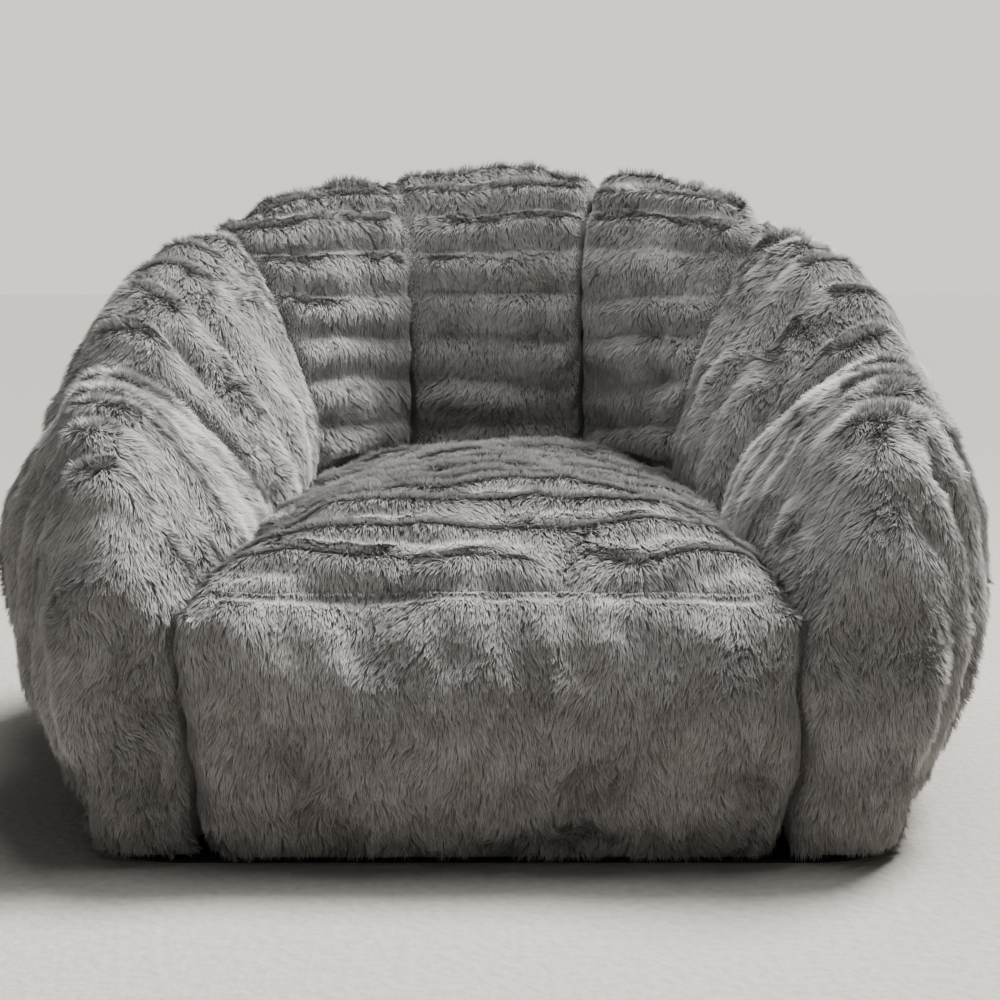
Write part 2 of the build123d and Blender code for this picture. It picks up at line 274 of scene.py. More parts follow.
# %% Rib and lump sizes
RIB_PITCH = 0.057
RIB_HEIGHT = 0.0095
SEAT_RIB_HEIGHT = 0.0050
FRONT_RIB_HEIGHT = 0.0030
LUMP_HEIGHT = 0.0095
SMALL_LUMP_HEIGHT = 0.0035


def finer(bag):
    """One level of smooth subdivision, kept."""
    smooth = bag.modifiers.new("finer", "SUBSURF")
    smooth.levels = smooth.render_levels = 1
    graph = bpy.context.evaluated_depsgraph_get()
    finished = bpy.data.meshes.new_from_object(bag.evaluated_get(graph), depsgraph=graph)
    bag.modifiers.clear()
    bag.data = finished
    bag.vertex_groups.clear()


for bag in bags.values():
    finer(bag)
print("cloth faces", sum(len(bag.data.polygons) for bag in bags.values()))


# %% The line that the ribs are counted along
def ring_reach(places):
    return np.linalg.norm(places[:, :2] - RING_CENTRE, axis=1)


# A back lobe's section from its inner foot to its outer foot, as reach from the ring's axis and height.
BACK_SECTION = np.array([
    (0.300, 0.00), (0.300, 0.21), (0.315, 0.43), (0.330, 0.61), (0.355, 0.68), (0.400, 0.71),
    (0.450, 0.68), (0.490, 0.61), (0.560, 0.45), (0.587, 0.31), (0.555, 0.16), (0.490, 0.05), (0.430, 0.00),
])


def over_the_back(places):
    """Length along a back lobe's section, at the section's nearest point."""
    here = np.stack([ring_reach(places), places[:, 2]], 1)
    nearest = np.full(len(places), 1e9)
    line = np.zeros(len(places))
    passed = 0.0
    for start, end in zip(BACK_SECTION[:-1], BACK_SECTION[1:]):
        run = end - start
        length = np.linalg.norm(run)
        share = np.clip((here - start) @ run / length**2, 0.0, 1.0)
        off = np.linalg.norm(here - start - share[:, None] * run, axis=1)
        closer = off < nearest
        line[closer] = passed + share[closer] * length
        nearest = np.minimum(nearest, off)
        passed += length
    return line


def along_the_ring(places, side):
    middle = side * (SHOULDER_SEAM + ARM_SEAM) / 2
    across = np.array([np.cos(middle), -np.sin(middle)])
    return (places[:, :2] - RING_CENTRE) @ across


def rib_line(name, places):
    if name.startswith("back"):
        return over_the_back(places)
    if name.startswith("shoulder"):
        return along_the_ring(places, -1 if name.endswith("left") else 1)
    return places[:, 1]


def ridge(line, sharpness=0.75):
    """A row of round ridges, from -1 to 1, with valleys that are sharper below a sharpness of 1."""
    wave = 0.5 + 0.5 * np.cos(2 * pi * line / RIB_PITCH)
    return 2.0 * wave**sharpness - 1.0


def smooth_step(low, high, values):
    share = np.clip((values - low) / (high - low), 0.0, 1.0)
    return share * share * (3 - 2 * share)


# The hem with the zip lies further from the ring's axis than this.
HEM_FROM = 0.44


def near_zip(places, full, none, past=4.5):
    """1 near the zip's middle line, up to full, and 0 further off than none, past its ends too."""
    off = np.abs(places[:, 2] - ZIP_HEIGHT)
    turn = np.abs(np.arctan2(places[:, 0], places[:, 1] - RING_CENTRE[1]))
    beside = 1 - smooth_step(ZIP_TURN + radians(past), ZIP_TURN + radians(past + 3), turn)
    return (1 - smooth_step(full, none, off)) * beside * (ring_reach(places) > HEM_FROM)


ZIP_BED = 0.0032


def teeth_reach():
    """Mean distance of the zip's teeth from the ring's axis."""
    teeth = [coordinates(frame["nodes"][n].data) for n in ("zip_teeth_upper", "zip_teeth_lower")]
    return ring_reach(np.concatenate(teeth)).mean()


def make_room_for_zip(places):
    """Draws the plush in to a flat bed behind the zip's tapes."""
    reach = ring_reach(places)
    off = (reach - teeth_reach()) * ZIP_OUT[0] + (places[:, 2] - ZIP_HEIGHT) * ZIP_OUT[1]
    shift = -(off + ZIP_BED) * near_zip(places, 0.010, 0.034)
    outward = (places[:, :2] - RING_CENTRE) / reach[:, None]
    places[:, :2] += outward * (shift * ZIP_OUT[0])[:, None]
    places[:, 2] += shift * ZIP_OUT[1]


# The lobes end END_GAP from a seam's plane, and the sewing draws them up to SEWN_GAP.
END_GAP = 0.009
SEWN_GAP = 0.0016
SEAM_GROOVE = 0.005
SEAM_REACH = 0.009
HANG = 0.009
HANG_FROM = 0.11
# Set against the chair's outline. A pair is for the left and for the right.
SEAM_LEAN = 0.014
SEAT_EDGE = 0.292
FRONT_BOW = (0.013, -0.002)
FRONT_FOOT = (0.013, 0.022)
# Draws the arms' and shoulders' outer walls in, so the chair seen is narrower than the frame.
SIDE_SLIMMER = 0.025


def close_seams(places):
    """Moves the ends of the lobes up to the seam planes, where the neighbours are sewn on."""
    turn = np.arctan2(places[:, 0] - RING_CENTRE[0], places[:, 1] - RING_CENTRE[1])
    for seam in (BACK_SEAM, SHOULDER_SEAM, ARM_SEAM):
        for angle in (seam, -seam):
            across = np.array([np.cos(angle), -np.sin(angle)])
            off = (places[:, :2] - RING_CENTRE) @ across
            near = 1 - smooth_step(END_GAP, 3.5 * END_GAP, np.abs(off))
            near *= np.abs(turn - angle) < radians(40)
            places[:, :2] -= np.outer(np.sign(off) * near * (END_GAP - SEWN_GAP), across)


def let_down(places):
    """Lets the lower edge hang down to the floor, as the plush is turned in under the chair."""
    share = 1 - smooth_step(0.0, HANG_FROM, places[:, 2])
    places[:, 2] -= HANG * share


def lean_seam(places):
    """The seam left of the back's middle lobe leans outwards towards its top."""
    left = np.exp(-(((places[:, 0] + 0.12) / 0.09) ** 2)) * (places[:, 1] > 0.0)
    places[:, 0] -= SEAM_LEAN * left * smooth_step(0.40, 0.66, places[:, 2])


def draw_in(places):
    """The seam between the arms and the front panel bows: narrow at the floor, wide at mid height."""
    side, height = places[:, 0], places[:, 2]
    beside = np.exp(-(((np.abs(side) - SEAT_EDGE) / 0.07) ** 2))
    front = 1 - smooth_step(SEAT_FRONT + 0.06, SEAT_FRONT + 0.22, places[:, 1])
    bow = np.where(side > 0, FRONT_BOW[1], FRONT_BOW[0]) * np.sin(pi * np.clip((height - 0.09) / 0.30, 0, 1))
    foot = np.where(side > 0, FRONT_FOOT[1], FRONT_FOOT[0]) * (1 - smooth_step(0.0, 0.16, height))
    places[:, 0] += np.sign(side) * beside * front * (bow - foot)


# Some lobes stand a little higher than the frame says. These heights were set one by one.
SETTLED = {"arm_right": 0.020, "back_right": 0.008, "back_centre": 0.005}
FILLED_OUT = 0.003


def press_lobe(name, bag, seed):
    places, outward = coordinates(bag.data), directions(bag.data)
    rise = smooth_step(0.3, 1.0, places[:, 2] / places[:, 2].max())
    places[:, 2] += SETTLED.get(name, 0.0) * rise
    close_seams(places)
    let_down(places)
    lean_seam(places)
    draw_in(places)
    if not name.startswith("back"):
        outer_wall = smooth_step(0.3, 0.9, np.abs(outward[:, 0])) * (np.abs(places[:, 0]) > 0.4)
        places[:, 0] -= np.sign(places[:, 0]) * SIDE_SLIMMER * outer_wall
    line = rib_line(name, places) + 0.011 * noise_at(places, 0.11, seed)
    strength = 0.62 + 0.55 * noise_at(places, 0.13, seed + 3)
    if name.startswith("arm"):
        # The arm's nose is one smooth cap: the hoops fade out towards it.
        strength *= smooth_step(SEAT_FRONT + 0.02, SEAT_FRONT + 0.10, places[:, 1])
        facing_out = outward[:, 0] * np.sign(places[:, 0])
        strength *= 0.65 + 0.85 * smooth_step(-0.4, 0.7, facing_out)
    if name.startswith("shoulder"):
        strength *= 0.8
    raised = RIB_HEIGHT * strength * ridge(line)
    raised += LUMP_HEIGHT * noise_at(places, 0.085, seed + 7)
    raised += SMALL_LUMP_HEIGHT * noise_at(places, 0.034, seed + 11) + FILLED_OUT
    # The seam is sewn straight, so ribs and lumps fade out towards it.
    off = off_seams(places)
    raised *= 0.25 + 0.75 * smooth_step(0.0, 0.026, off)
    raised -= SEAM_GROOVE * np.exp(-((off / SEAM_REACH) ** 2))
    free = smooth_step(0.02, 0.07, places[:, 2])
    places += outward * (raised * free)[:, None]
    if name.startswith("back"):
        make_room_for_zip(places)
    move_to(bag.data, places)
    return raised


for number, name in enumerate(LOBES):
    raised = press_lobe(name, bags[name], number)
    print(f"{name}: ribs and lumps from {raised.min() * 1000:.0f} to {raised.max() * 1000:.0f} mm")


# %% [markdown]
# ## The seat
#
# The seat is one domed bag. Its top plush and its front plush meet in a seam along the front edge,
# which draws the cloth in. Ribs cross the top from arm to arm, and faint ones hang down the
# front panel. After shaping, the bag is cut at the seam into its two covers.

# %% Pressing the seat
SEAT_SIDE_FILL = 0.009
SEAT_SAG = 0.008
SEAT_LUMP_HEIGHT = 0.009
SEAT_SMALL_LUMP_HEIGHT = 0.005
SEAT_SEAM_REACH = 0.009
SEAT_SEAM_GROOVE = 0.006


def press_seat(bag, seed=20):
    places, outward = coordinates(bag.data), directions(bag.data)
    let_down(places)
    draw_in(places)
    up = smooth_step(0.15, 0.6, outward[:, 2])
    places[:, 2] -= SEAT_SAG * up
    top_line = places[:, 1] + 0.020 * noise_at(places, 0.13, seed)
    front_line = places[:, 0] + 0.014 * noise_at(places, 0.14, seed + 1)
    strength = 0.55 + 0.9 * noise_at(places, 0.11, seed + 2)
    raised = up * SEAT_RIB_HEIGHT * strength * ridge(top_line, 2.0)
    raised += (1 - up) * FRONT_RIB_HEIGHT * strength * ridge(front_line, 1.5)
    raised += SEAT_LUMP_HEIGHT * noise_at(places, 0.10, seed + 4)
    raised += SEAT_SMALL_LUMP_HEIGHT * noise_at(places, 0.038, seed + 5)
    raised += SEAT_SIDE_FILL * smooth_step(0.3, 0.8, np.abs(outward[:, 0])) + FILLED_OUT
    seam = np.exp(-(((places[:, 2] - SEAT_SEAM_HEIGHT) / SEAT_SEAM_REACH) ** 2))
    raised -= SEAT_SEAM_GROOVE * seam * (outward[:, 1] < -0.2)
    free = smooth_step(0.0, 0.03, places[:, 2])
    move_to(bag.data, places + outward * (raised * free)[:, None])


press_seat(bags["seat"])


def cut_at_seam(bag, name, keep_above):
    cover = bmesh.new()
    cover.from_mesh(bag.data)
    cut = bmesh.ops.bisect_plane(
        cover, geom=[*cover.verts, *cover.edges, *cover.faces],
        plane_co=(0.0, 0.0, SEAT_SEAM_HEIGHT), plane_no=(0.0, 0.0, 1.0),
        clear_inner=keep_above, clear_outer=not keep_above,
    )
    rim = [e for e in cut["geom_cut"] if isinstance(e, bmesh.types.BMEdge)]
    bmesh.ops.triangle_fill(cover, edges=rim, use_beauty=True)
    bmesh.ops.recalc_face_normals(cover, faces=cover.faces)
    mesh = bpy.data.meshes.new(name)
    cover.to_mesh(mesh)
    cover.free()
    return new_object(name, mesh)


covers = {}
for name in LOBES:
    covers[name] = bags[name]
    covers[name].name = "plush_" + name
covers["seat_top"] = cut_at_seam(bags["seat"], "plush_seat_top", True)
covers["seat_front"] = cut_at_seam(bags["seat"], "plush_seat_front", False)
bpy.data.objects.remove(bags["seat"])
for cover in covers.values():
    cover.data.polygons.foreach_set("use_smooth", [True] * len(cover.data.polygons))
print("covers", {name: len(cover.data.polygons) for name, cover in covers.items()})

# %% [markdown]
# ## Where pile can stand
#
# Pile grows only where there is room: none between two lobes that press together, and short pile
# down in the creases, round the zip and near the floor. A ray along each vertex's normal finds how far the
# next piece is. The pile also has a lie: it falls downwards and away from the ridges, and on the
# seat it is smoothed towards the front.

# %% Room and lie for the pile
PILE_LENGTH = 0.0118
ROOM_FOR_PILE = 0.034
CLOSED_GAP = 0.014


def meeting_tree():
    """One tree of every cover, so that a ray finds the neighbours."""
    corners, faces = [], []
    for cover in covers.values():
        first = len(corners)
        corners.extend(v.co.copy() for v in cover.data.vertices)
        faces.extend([first + i for i in p.vertices] for p in cover.data.polygons)
    return BVHTree.FromPolygons(corners, faces)


neighbours = meeting_tree()


def room_over(places, outward):
    """Free length over each vertex, up to the length that full pile needs."""
    room = np.full(len(places), ROOM_FOR_PILE)
    for i, (place, way) in enumerate(zip(places, outward)):
        way = Vector(way)
        hit = neighbours.ray_cast(Vector(place) + way * 0.0015, way, ROOM_FOR_PILE)
        if hit[0] is not None:
            room[i] = hit[3]
        elif way.z < -0.5 and place[2] < 0.012:
            room[i] = 0.0
    return room


SKY_RAYS = 14
SKY_REACH = 0.45


def openness(places, outward):
    """Share of the rays over each vertex that get out into the open."""
    turns = np.arange(SKY_RAYS) * pi * (3 - 5**0.5)
    rise = 0.12 + 0.86 * (np.arange(SKY_RAYS) + 0.5) / SKY_RAYS
    flat = np.sqrt(1 - rise**2)
    rays = [Vector(r) for r in np.stack([flat * np.cos(turns), flat * np.sin(turns), rise], 1)]
    open_share = np.zeros(len(places))
    for i, (place, way) in enumerate(zip(places, outward)):
        way = Vector(way)
        upright = way.to_track_quat("Z", "Y")
        start = Vector(place) + way * 0.004
        for ray in rays:
            aim = upright @ ray
            below = start.z + aim.z * SKY_REACH < 0.0
            if not below and neighbours.ray_cast(start, aim, SKY_REACH)[0] is None:
                open_share[i] += 1.0 / SKY_RAYS
    return open_share


def comb(name, cover):
    places, outward = coordinates(cover.data), directions(cover.data)
    room = room_over(places, outward)
    length = smooth_step(CLOSED_GAP, ROOM_FOR_PILE, room) * (1 - near_zip(places, 0.007, 0.024, 0.2))
    length *= openness(places, outward) > 0.1
    length *= 0.3 + 0.7 * smooth_step(-0.004, 0.010, places[:, 2])
    if name in LOBES:
        length *= 0.30 + 0.70 * smooth_step(0.004, 0.017, off_seams(places))
    lie = np.zeros_like(places)
    lie[:, 2] = -1.0
    lie[:, :2] += 0.55 * outward[:, :2]
    if name.startswith("seat"):
        lie[:, 1] -= 0.9
    store(cover.data, "pile_length", "FLOAT", length)
    store(cover.data, "pile_lie", "FLOAT_VECTOR", lie)
    outer = (outward[:, :2] * (places[:, :2] - RING_CENTRE)).sum(1) > 0
    store(cover.data, "outer_side", "FLOAT", outer.astype(float))
    return length


for name, cover in covers.items():
    length = comb(name, cover)
    print(f"{name}: pile stands on {100 * (length > 0.15).mean():.0f} % of the cloth")

# %% [markdown]
# ## The pile
#
# Long plush is thousands of fine strands that cling together in tufts. Hair curves would render
# well, but they aren't a mesh, so they would be missing from the finished model. Geometry Nodes
# scatters narrow flat triangles instead, one for each strand, and turns each of them to the lie of
# the pile, to the swirls of the nap and to its own tuft.

# %% One strand of pile
STRAND_WIDTH = 0.0012


def strand_mesh():
    """A flat triangle one unit long along Z that faces -Y, with its root on the origin."""
    leaf = bmesh.new()
    bmesh.ops.create_circle(leaf, cap_ends=True, segments=3, radius=1.0)
    along = leaf.verts.layers.float.new("along")
    side = leaf.verts.layers.float.new("side")
    tip = max(leaf.verts, key=lambda vert: vert.co.y)
    for vert in leaf.verts:
        vert[along] = float(vert is tip)
        vert[side] = 0.0 if vert is tip else (1.0 if vert.co.x > 0 else -1.0)
        vert.co = (0.5 * vert[side], 0.0, vert[along])
    mesh = bpy.data.meshes.new("strand")
    leaf.to_mesh(mesh)
    leaf.free()
    return mesh


strand = new_object("strand", strand_mesh())
strand.hide_render = True
strand.hide_viewport = True
print("strand triangles", len(strand.data.polygons))


# %% The pile as a node group
def named(tree, name, kind="FLOAT"):
    node = add_node(tree, "GeometryNodeInputNamedAttribute", {"Name": name}, data_type=kind)
    return node.outputs["Attribute"]


def maths(tree, operation, a, b=0.0):
    node = add_node(tree, "ShaderNodeMath", {0: a, 1: b}, operation=operation)
    return node.outputs[0]


def vectors(tree, operation, a, b=None, scale=None):
    node = add_node(tree, "ShaderNodeVectorMath", {0: a}, operation=operation)
    if b is not None:
        link_or_set(tree, b, node.inputs[1])
    if scale is not None:
        link_or_set(tree, scale, node.inputs["Scale"])
    return node.outputs["Value" if operation in ("DOT_PRODUCT", "LENGTH") else "Vector"]


def link_or_set(tree, value, socket):
    if isinstance(value, bpy.types.NodeSocket):
        tree.links.new(value, socket)
    else:
        socket.default_value = value


def swirl(tree, place, size, strength):
    """A wandering direction that changes over the given size."""
    wander = add_node(tree, "ShaderNodeTexNoise", {"Vector": place, "Scale": 1.0 / size, "Detail": 1.0})
    centred = vectors(tree, "SUBTRACT", wander.outputs["Color"], (0.5, 0.5, 0.5))
    return vectors(tree, "SCALE", centred, scale=strength)


def pile_group():
    tree = bpy.data.node_groups.new("plush_pile", "GeometryNodeTree")
    face = tree.interface
    face.new_socket("Geometry", in_out="INPUT", socket_type="NodeSocketGeometry")
    for title in ("Density", "Length", "Outer Share", "Inner Share"):
        face.new_socket(title, in_out="INPUT", socket_type="NodeSocketFloat")
    face.new_socket("Seed", in_out="INPUT", socket_type="NodeSocketInt")
    face.new_socket("Geometry", in_out="OUTPUT", socket_type="NodeSocketGeometry")
    given = tree.nodes.new("NodeGroupInput").outputs

    # Strands are dense where there is room for them, on the side that is asked for.
    room = maths(tree, "GREATER_THAN", named(tree, "pile_length"), 0.06)
    outer = named(tree, "outer_side")
    on_outer = maths(tree, "MULTIPLY", outer, given["Outer Share"])
    on_inner = maths(tree, "MULTIPLY", maths(tree, "SUBTRACT", 1.0, outer), given["Inner Share"])
    wanted = maths(tree, "MULTIPLY", room, maths(tree, "ADD", on_outer, on_inner))
    wanted = maths(tree, "MULTIPLY", wanted, given["Density"])
    roots = add_node(
        tree, "GeometryNodeDistributePointsOnFaces",
        {"Mesh": given["Geometry"], "Density": wanted, "Seed": given["Seed"]},
        distribute_method="RANDOM",
    )
    place = tree.nodes.new("GeometryNodeInputPosition").outputs[0]
    normal = roots.outputs["Normal"]

    # The way that each strand leans: lie, swirls, its tuft, and a little of its own.
    lean = vectors(tree, "SCALE", named(tree, "pile_lie", "FLOAT_VECTOR"), scale=0.95)
    lean = vectors(tree, "ADD", lean, swirl(tree, place, 0.085, 2.4))
    lean = vectors(tree, "ADD", lean, swirl(tree, place, 0.028, 1.1))
    tuft = add_node(
        tree, "ShaderNodeTexVoronoi",
        {"Vector": place, "Scale": 1.0 / 0.014, "Randomness": 1.0},
        feature="F1", voronoi_dimensions="3D",
    )
    to_tuft = vectors(tree, "SUBTRACT", tuft.outputs["Position"], place)
    lean = vectors(tree, "ADD", lean, vectors(tree, "SCALE", to_tuft, scale=26.0))
    stray = add_node(
        tree, "FunctionNodeRandomValue", {"Seed": 3}, data_type="FLOAT_VECTOR",
    )
    stray.inputs["Min"].default_value = (-0.2, -0.2, -0.2)
    stray.inputs["Max"].default_value = (0.2, 0.2, 0.2)
    lean = vectors(tree, "ADD", lean, stray.outputs["Value"])
    lifted = vectors(tree, "DOT_PRODUCT", lean, normal)
    flat = vectors(tree, "SUBTRACT", lean, vectors(tree, "SCALE", normal, scale=lifted))
    way = vectors(tree, "ADD", flat, vectors(tree, "SCALE", normal, scale=0.55))
    turn = add_node(
        tree, "FunctionNodeAxesToRotation", {"Primary Axis": way, "Secondary Axis": normal},
        primary_axis="Z", secondary_axis="Y",
    )

    # Strands differ in length, and lighter and darker tufts lie side by side.
    grown = add_node(tree, "FunctionNodeRandomValue", {"Seed": 5}, data_type="FLOAT")
    grown.inputs[2].default_value = 0.7
    grown.inputs[3].default_value = 1.15
    long = maths(tree, "MULTIPLY", named(tree, "pile_length"), given["Length"])
    long = maths(tree, "MULTIPLY", long, grown.outputs[1])
    size = add_node(
        tree, "ShaderNodeCombineXYZ", {"X": STRAND_WIDTH, "Y": long, "Z": long}
    ).outputs[0]
    part = add_node(tree, "FunctionNodeSeparateColor", {0: tuft.outputs["Color"]})
    broad = add_node(tree, "ShaderNodeTexNoise", {"Vector": place, "Scale": 1.0 / 0.12, "Detail": 2.0})
    own = add_node(tree, "FunctionNodeRandomValue", {"Seed": 8}, data_type="FLOAT")
    tone = maths(tree, "MULTIPLY", maths(tree, "SUBTRACT", part.outputs[0], 0.5), 0.16)
    patch = maths(tree, "MULTIPLY", maths(tree, "SUBTRACT", broad.outputs[0], 0.5), 0.26)
    strand_own = maths(tree, "MULTIPLY", maths(tree, "SUBTRACT", own.outputs[1], 0.5), 0.42)
    tone = maths(tree, "ADD", tone, maths(tree, "ADD", patch, strand_own))
    # The tone falls towards the floor, so the low plush is darker and, through the warm dark end of the
    # strands' ramp, warmer: painted shade near the floor.
    parts = add_node(tree, "ShaderNodeSeparateXYZ", {0: place})
    height = add_node(
        tree, "ShaderNodeMapRange",
        {"Value": parts.outputs["Z"], "From Min": 0.0, "From Max": 0.3, "To Min": 0.34, "To Max": 0.52},
    )
    tone = maths(tree, "ADD", tone, height.outputs[0])
    tone = maths(tree, "MINIMUM", maths(tree, "MAXIMUM", tone, 0.03), 0.97)
    toned = add_node(
        tree, "GeometryNodeStoreNamedAttribute",
        {"Geometry": roots.outputs["Points"], "Name": "tone", "Value": tone},
        data_type="FLOAT", domain="POINT",
    )
    leaf = add_node(tree, "GeometryNodeObjectInfo", {"Object": strand}, transform_space="ORIGINAL")
    strands = add_node(
        tree, "GeometryNodeInstanceOnPoints",
        {"Points": toned.outputs[0], "Instance": leaf.outputs["Geometry"],
         "Rotation": turn.outputs[0], "Scale": size},
    )
    real = add_node(tree, "GeometryNodeRealizeInstances", {"Geometry": strands.outputs[0]})

    # The strand's colour is read from a small map: its tone across, and root to tip upwards.
    across = maths(tree, "ADD", named(tree, "tone"), maths(tree, "MULTIPLY", named(tree, "side"), 0.015))
    spot = add_node(tree, "ShaderNodeCombineXYZ", {"X": across, "Y": named(tree, "along")})
    mapped = add_node(
        tree, "GeometryNodeStoreNamedAttribute",
        {"Geometry": real.outputs[0], "Name": "OFBake", "Value": spot.outputs[0]},
        data_type="FLOAT2", domain="CORNER",
    )
    out = tree.nodes.new("NodeGroupOutput")
    tree.links.new(mapped.outputs[0], out.inputs[0])
    return tree


pile = pile_group()
print("pile group has", len(pile.nodes), "nodes")


# %% [markdown]
# ## Colours of the plush
#
# Plush is dark between the strands and light at their tips, because the tips catch the light, and the
# strands' colour paints this in too: painted shade at the root and a painted highlight at the tip. A strand's
# material reads only the small map that the node group stored: across it runs the tone of the tuft, from a
# warm dark grey to a cool pale grey, and up it runs the strand from root to tip.
# The backing cloth under the pile repeats the dark end as painted shade under the pile, with a fine nap of
# its own.

# %% Shared shading groups
def shader_group(name, inputs, outputs):
    tree = bpy.data.node_groups.new(name, "ShaderNodeTree")
    for title, kind in inputs:
        tree.interface.new_socket(title, in_out="INPUT", socket_type=kind)
    for title, kind in outputs:
        tree.interface.new_socket(title, in_out="OUTPUT", socket_type=kind)
    return tree, tree.nodes.new("NodeGroupInput").outputs, tree.nodes.new("NodeGroupOutput")


def fibre_group():
    """Fine fibres with a lie: a colour mask and a height, at a size and a stretch."""
    tree, given, out = shader_group(
        "fine_fibres",
        [("Vector", "NodeSocketVector"), ("Size", "NodeSocketFloat"), ("Stretch", "NodeSocketVector")],
        [("Mask", "NodeSocketFloat"), ("Height", "NodeSocketFloat")],
    )
    scale = add_node(tree, "ShaderNodeMath", {0: 1.0, 1: given["Size"]}, operation="DIVIDE")
    laid = add_node(
        tree, "ShaderNodeVectorMath", {0: given["Vector"], 1: given["Stretch"]}, operation="MULTIPLY"
    )
    fine = add_node(
        tree, "ShaderNodeTexNoise",
        {"Vector": laid.outputs[0], "Scale": scale.outputs[0], "Detail": 4.0, "Roughness": 0.65},
    )
    broad = add_node(tree, "ShaderNodeTexNoise", {"Vector": given["Vector"], "Scale": 14.0, "Detail": 3.0})
    both = add_node(
        tree, "ShaderNodeMath", {0: fine.outputs[0], 1: broad.outputs[0]}, operation="MULTIPLY"
    )
    tree.links.new(both.outputs[0], out.inputs["Mask"])
    tree.links.new(fine.outputs[0], out.inputs["Height"])
    return tree


fine_fibres = fibre_group()


def new_material(name, **plain):
    """A material with one Principled shader, and plain values set on the shader itself."""
    made = bpy.data.materials.new(name)
    made.use_nodes = True
    made.node_tree.nodes.clear()
    shader = made.node_tree.nodes.new("ShaderNodeBsdfPrincipled")
    surface = add_node(made.node_tree, "ShaderNodeOutputMaterial", {"Surface": shader.outputs[0]})
    surface.is_active_output = True
    for title, value in plain.items():
        shader.inputs[title.replace("_", " ")].default_value = value
    return made, made.node_tree, shader


def ramp(tree, source, stops):
    node = add_node(tree, "ShaderNodeValToRGB", {0: source})
    band = node.color_ramp
    while len(band.elements) < len(stops):
        band.elements.new(0.5)
    for element, (place, colour) in zip(band.elements, stops):
        element.position = place
        element.color = (*colour, 1.0)
    return node.outputs["Color"]


# %% The strands
def strand_material():
    made, tree, shader = new_material("plush_strands", Roughness=0.60, Sheen_Weight=0.4, Sheen_Roughness=0.5)
    shader.inputs["Specular IOR Level"].default_value = 0.25
    spot = add_node(tree, "ShaderNodeUVMap", uv_map="OFBake").outputs[0]
    parts = add_node(tree, "ShaderNodeSeparateXYZ", {0: spot})
    tone = ramp(
        tree, parts.outputs["X"],
        [(0.0, (0.165, 0.140, 0.120)), (0.3, (0.285, 0.266, 0.250)),
         (0.6, (0.470, 0.467, 0.466)), (1.0, (0.700, 0.709, 0.722))],
    )
    # Dark at the root and bright at the tip: painted shade between the strands and a painted highlight where
    # the tips catch the light.
    depth = ramp(
        tree, parts.outputs["Y"],
        [(0.0, (0.46, 0.46, 0.46)), (0.45, (0.88, 0.88, 0.88)), (1.0, (1.22, 1.22, 1.22))],
    )
    mixed = add_node(tree, "ShaderNodeMix", {"Factor": 1.0}, data_type="RGBA", blend_type="MULTIPLY")
    tree.links.new(tone, mixed.inputs["A"])
    tree.links.new(depth, mixed.inputs["B"])
    tree.links.new(mixed.outputs["Result"], shader.inputs["Base Color"])
    return made


def backing_painted_shade_material():
    made, tree, shader = new_material("plush_backing_painted_shade", Roughness=0.9, Sheen_Weight=0.15)
    spot = add_node(tree, "ShaderNodeTexCoord").outputs["Object"]
    fibres = add_node(
        tree, "ShaderNodeGroup", node_tree=fine_fibres
    )
    tree.links.new(spot, fibres.inputs["Vector"])
    fibres.inputs["Size"].default_value = 0.003
    fibres.inputs["Stretch"].default_value = (1.0, 1.0, 0.35)
    # Its dark colour is painted shade under the pile; the fibres add the cloth's own fine nap.
    colour = ramp(
        tree, fibres.outputs["Mask"],
        [(0.1, (0.12, 0.115, 0.11)), (0.5, (0.27, 0.264, 0.258))],
    )
    tree.links.new(colour, shader.inputs["Base Color"])
    bump = add_node(tree, "ShaderNodeBump", {"Height": fibres.outputs["Height"], "Distance": 0.002})
    tree.links.new(bump.outputs[0], shader.inputs["Normal"])
    return made


strands_finish = strand_material()
backing_painted_shade_finish = backing_painted_shade_material()


# %% Growing the pile
DENSITY = 465000.0


def grow(name, cover, side, seed):
    """The pile on one side of a cover, as a mesh piece of its own."""
    sprouting = new_object("sprouting", cover.data)
    growth = sprouting.modifiers.new("pile", "NODES")
    growth.node_group = pile
    values = {
        "Density": DENSITY, "Length": PILE_LENGTH, "Seed": seed,
        "Outer Share": float(side != "inner"), "Inner Share": float(side != "outer"),
    }
    for socket in pile.interface.items_tree:
        if socket.in_out == "INPUT" and socket.name in values:
            growth[socket.identifier] = values[socket.name]
    graph = bpy.context.evaluated_depsgraph_get()
    mesh = bpy.data.meshes.new_from_object(
        sprouting.evaluated_get(graph), preserve_all_data_layers=True, depsgraph=graph
    )
    bpy.data.objects.remove(sprouting)
    for spare in ("pile_length", "pile_lie", "outer_side", "tone", "along", "side"):
        if spare in mesh.attributes:
            mesh.attributes.remove(mesh.attributes[spare])
    mesh.materials.clear()
    mesh.materials.append(strands_finish)
    piece = new_object(f"pile_{name}" + (f"_{side}" if side != "all" else ""), mesh)
    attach(piece, "chair")
    print(f"{piece.name}: {len(mesh.polygons)} triangles")
    return piece


SIDES = {"seat_top": ("all",), "seat_front": ("all",)}
piles = []
for number, (name, cover) in enumerate(covers.items()):
    for side in SIDES.get(name, ("outer", "inner")):
        piles.append(grow(name, cover, side, 11 + 2 * number + (side == "inner")))
print("pile triangles", sum(len(p.data.polygons) for p in piles))


